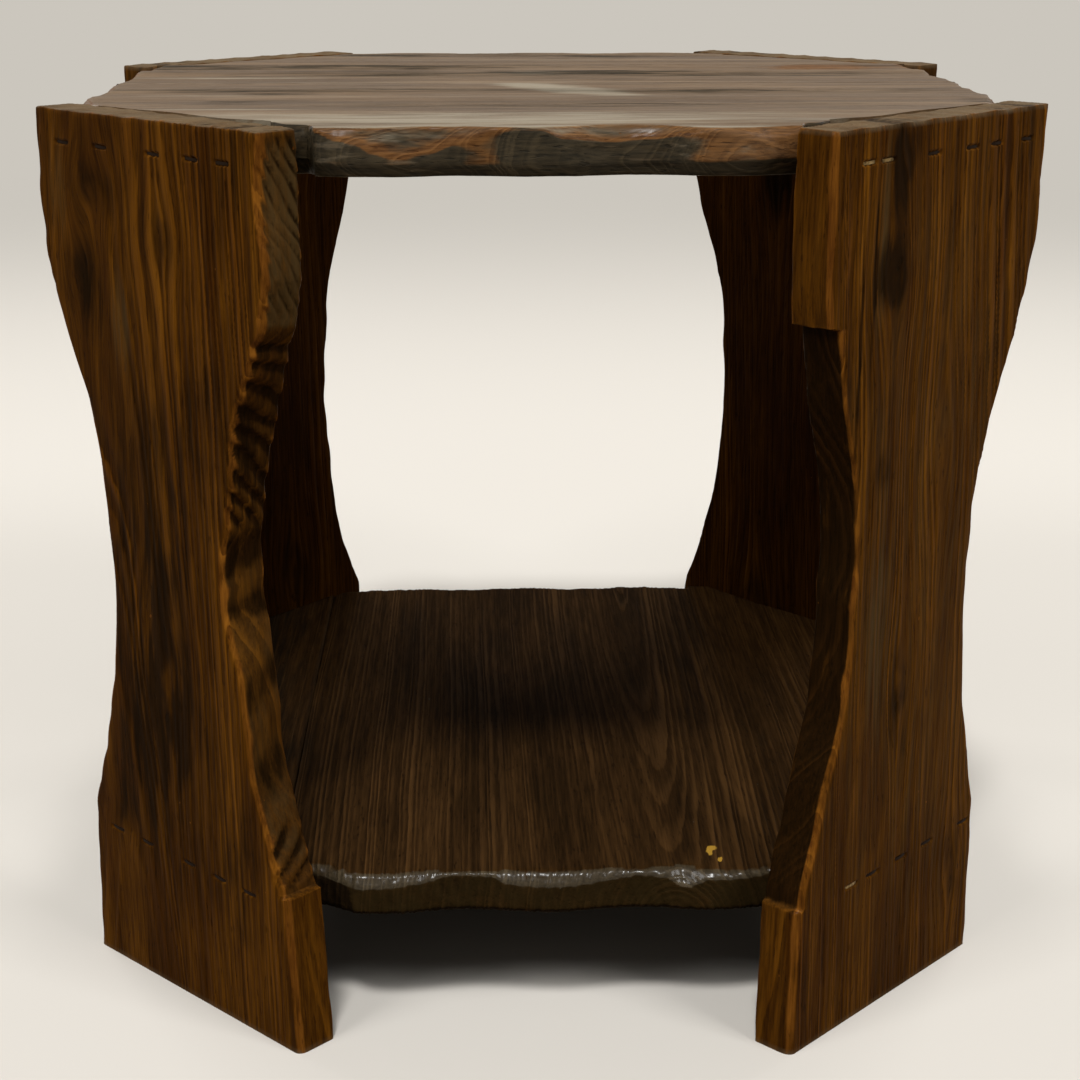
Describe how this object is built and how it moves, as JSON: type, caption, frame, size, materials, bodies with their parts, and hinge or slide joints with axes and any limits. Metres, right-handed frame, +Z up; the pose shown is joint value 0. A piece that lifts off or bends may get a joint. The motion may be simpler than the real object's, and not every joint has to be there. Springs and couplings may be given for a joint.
{
  "type": "side table",
  "caption": "Rustic side table with an octagonal top and shelf set between waisted plank legs across the corners, its edges hewn and its wood scorched and brushed.",
  "frame": {"origin": "on the floor, under the middle of the table", "axes": "+Z up; -Y is the front as pictured, +X its right-hand side"},
  "size_m": [0.5632, 0.5886, 0.508],
  "materials": {
    "leg_wood": "scorched, wire-brushed softwood under brown satin lacquer",
    "top_wood": "scorched softwood under worn grey-brown satin lacquer",
    "shelf_wood": "scorched, wire-brushed softwood under dark satin lacquer",
    "staple_steel": "dull galvanised wire"
  },
  "bodies": {
    "root": {"leg_front_left": "leg_wood", "leg_front_right": "leg_wood", "leg_back_right": "leg_wood", "leg_back_left": "leg_wood", "top_board_front": "top_wood", "top_board_mid_front": "top_wood", "top_board_mid_back": "top_wood", "top_board_back": "top_wood", "shelf_board_left": "shelf_wood", "shelf_board_mid_left": "shelf_wood", "shelf_board_mid_right": "shelf_wood", "shelf_board_right": "shelf_wood", "staples_top_front_left": "staple_steel", "staples_top_front_right": "staple_steel", "staples_top_back_right": "staple_steel", "staples_top_back_left": "staple_steel", "staples_shelf_front_left": "staple_steel", "staples_shelf_front_right": "staple_steel", "staples_shelf_back_right": "staple_steel", "staples_shelf_back_left": "staple_steel"}
  },
  "joints": []
}
